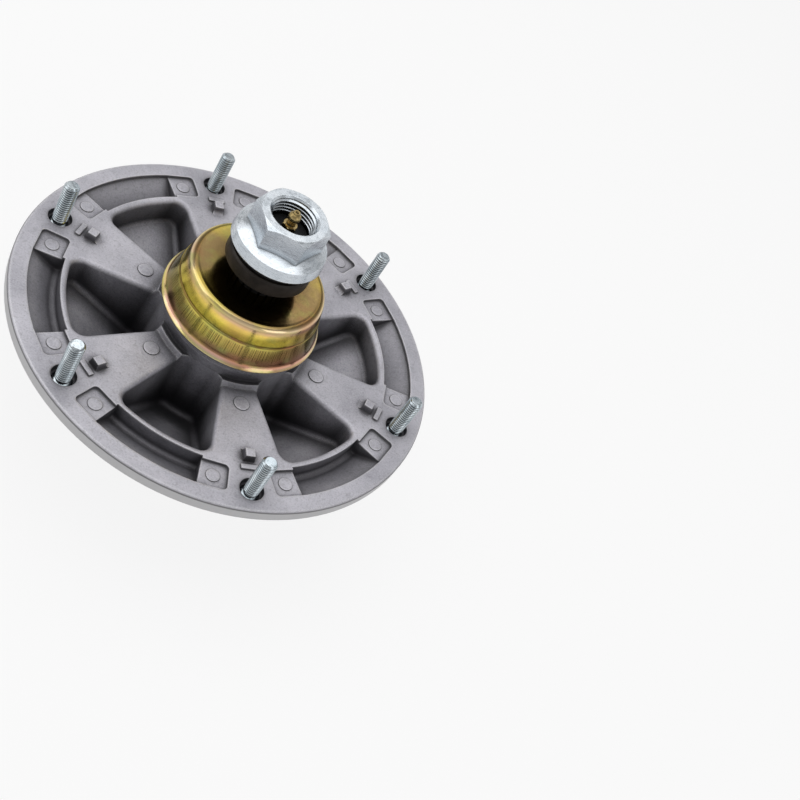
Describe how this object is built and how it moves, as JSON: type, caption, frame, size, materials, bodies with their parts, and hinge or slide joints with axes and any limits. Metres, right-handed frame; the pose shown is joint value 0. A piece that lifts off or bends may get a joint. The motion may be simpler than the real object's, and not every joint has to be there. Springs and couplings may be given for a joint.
{
  "type": "mower deck spindle",
  "caption": "Mower deck spindle: round cast flange with spokes and studs, bearing hub, and a shaft with blade flange, dust cup, collar and flanged hexagon nut.",
  "frame": {"origin": "Centre of the stud circle, on the flange's deck face.", "axes": "+Z along the spindle axis from the blade flange to the nut, +X towards one mounting stud."},
  "size_m": [0.228, 0.228, 0.159],
  "materials": {
    "cast_aluminium": "die-cast, blasted, fine grain",
    "zinc_steel": "bright zinc plate",
    "black_steel": "black oxide, lightly oiled",
    "dark_collar": "dark sintered steel",
    "yellow_zinc": "yellow iridescent zinc plate on pressed steel",
    "bearing_steel": "ground and polished",
    "seal_rubber": "matt black",
    "fitting_brass": "turned brass"
  },
  "bodies": {
    "housing": {"housing": "cast_aluminium", "mounting_studs": "zinc_steel", "upper_bearing_outer_race": "bearing_steel", "lower_bearing_outer_race": "bearing_steel", "upper_bearing_seal": "seal_rubber", "lower_bearing_seal": "seal_rubber", "retaining_ring": "black_steel"},
    "spindle": {"spindle_shaft": "black_steel", "upper_bearing_inner_race": "bearing_steel", "lower_bearing_inner_race": "bearing_steel", "bearing_spacer": "bearing_steel", "cover_spacer": "bearing_steel", "dust_cover": "yellow_zinc", "lower_dust_shield": "yellow_zinc", "pulley_collar": "dark_collar", "spring_washer": "black_steel", "top_nut": "zinc_steel", "grease_fitting": "fitting_brass", "grease_check_spring": "bearing_steel"},
    "upper_ball_set": {"upper_bearing_balls": "bearing_steel", "upper_bearing_cage": "bearing_steel"},
    "lower_ball_set": {"lower_bearing_balls": "bearing_steel", "lower_bearing_cage": "bearing_steel"},
    "check_ball": {"grease_check_ball": "bearing_steel"}
  },
  "joints": [
    {"name": "spindle_spin", "type": "hinge", "parent": "housing", "child": "spindle", "pos_m": [0, 0, 0], "axis": [0, 0, 1], "continuous": true},
    {"name": "upper_ball_orbit", "type": "hinge", "parent": "housing", "child": "upper_ball_set", "pos_m": [0, 0, 0.024], "axis": [0, 0, 1], "continuous": true},
    {"name": "lower_ball_orbit", "type": "hinge", "parent": "housing", "child": "lower_ball_set", "pos_m": [0, 0, -0.05], "axis": [0, 0, 1], "continuous": true},
    {"name": "check_ball_press", "type": "slide", "parent": "spindle", "child": "check_ball", "axis": [0, 0, -1], "range_m": [0, 0.0007], "stiffness_N_per_m": 60, "springref_m": -0.002, "deforming": ["grease_check_spring"]}
  ],
  "couplings": [
    {"joint": "upper_ball_orbit", "follows": "spindle_spin", "ratio": 0.39647},
    {"joint": "lower_ball_orbit", "follows": "spindle_spin", "ratio": 0.39647}
  ]
}
